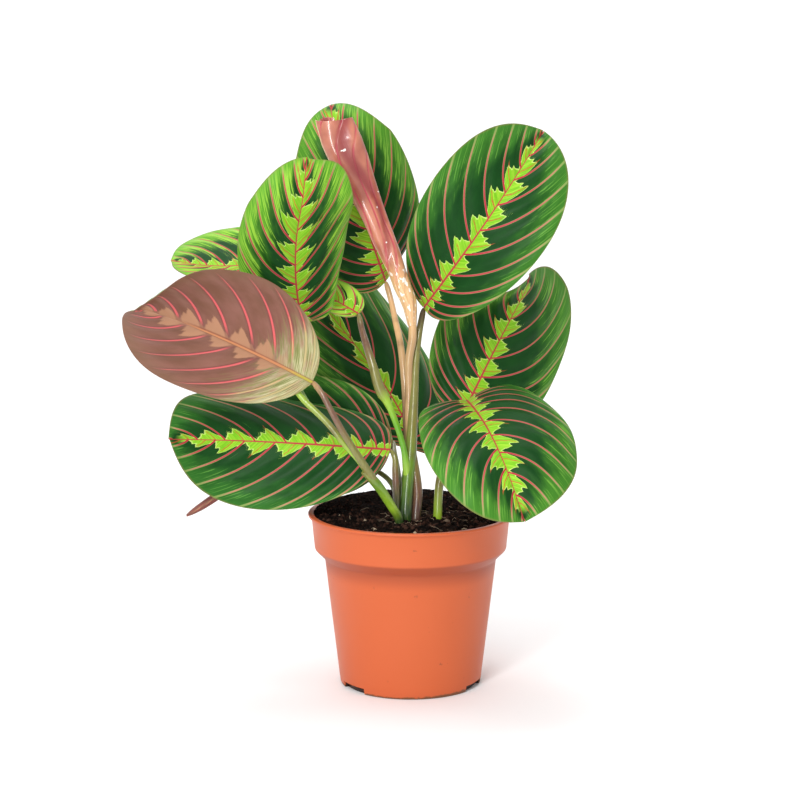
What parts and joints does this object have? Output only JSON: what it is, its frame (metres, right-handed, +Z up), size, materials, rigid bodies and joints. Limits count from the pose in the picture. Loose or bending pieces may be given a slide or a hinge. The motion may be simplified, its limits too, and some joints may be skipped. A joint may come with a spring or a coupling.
{
  "type": "potted plant",
  "caption": "Potted prayer plant: broad oval patterned leaves on long stems, one still rolled, standing in soil in a round terracotta-coloured nursery pot.",
  "frame": {"origin": "The middle of the pot's flat foot.", "axes": "+Z is up through the pot's middle. The side seen in the picture looks towards -Y, and +X is to its right."},
  "size_m": [0.2614, 0.2266, 0.3453],
  "materials": {
    "pot_plastic": "satin",
    "soil": "rough and crumbly",
    "stem_green": "satin",
    "leaf_patterned": "glossy, patterned",
    "leaf_young": "glossy"
  },
  "bodies": {
    "root": {"pot": "pot_plastic", "soil": "soil", "left_shoot": "stem_green", "centre_shoot": "stem_green", "right_shoot": "stem_green", "leaf_top": "leaf_patterned", "leaf_upper_left": "leaf_patterned", "leaf_upper_right": "leaf_patterned", "leaf_middle_right": "leaf_patterned", "leaf_lower_right": "leaf_patterned", "leaf_left_front": "leaf_patterned", "leaf_left_lower": "leaf_patterned", "leaf_left_back": "leaf_patterned", "leaf_left_small": "leaf_patterned", "leaf_back_centre": "leaf_patterned", "leaf_small": "leaf_patterned", "leaf_hanging": "leaf_patterned", "leaf_rolled": "leaf_young"}
  },
  "joints": []
}
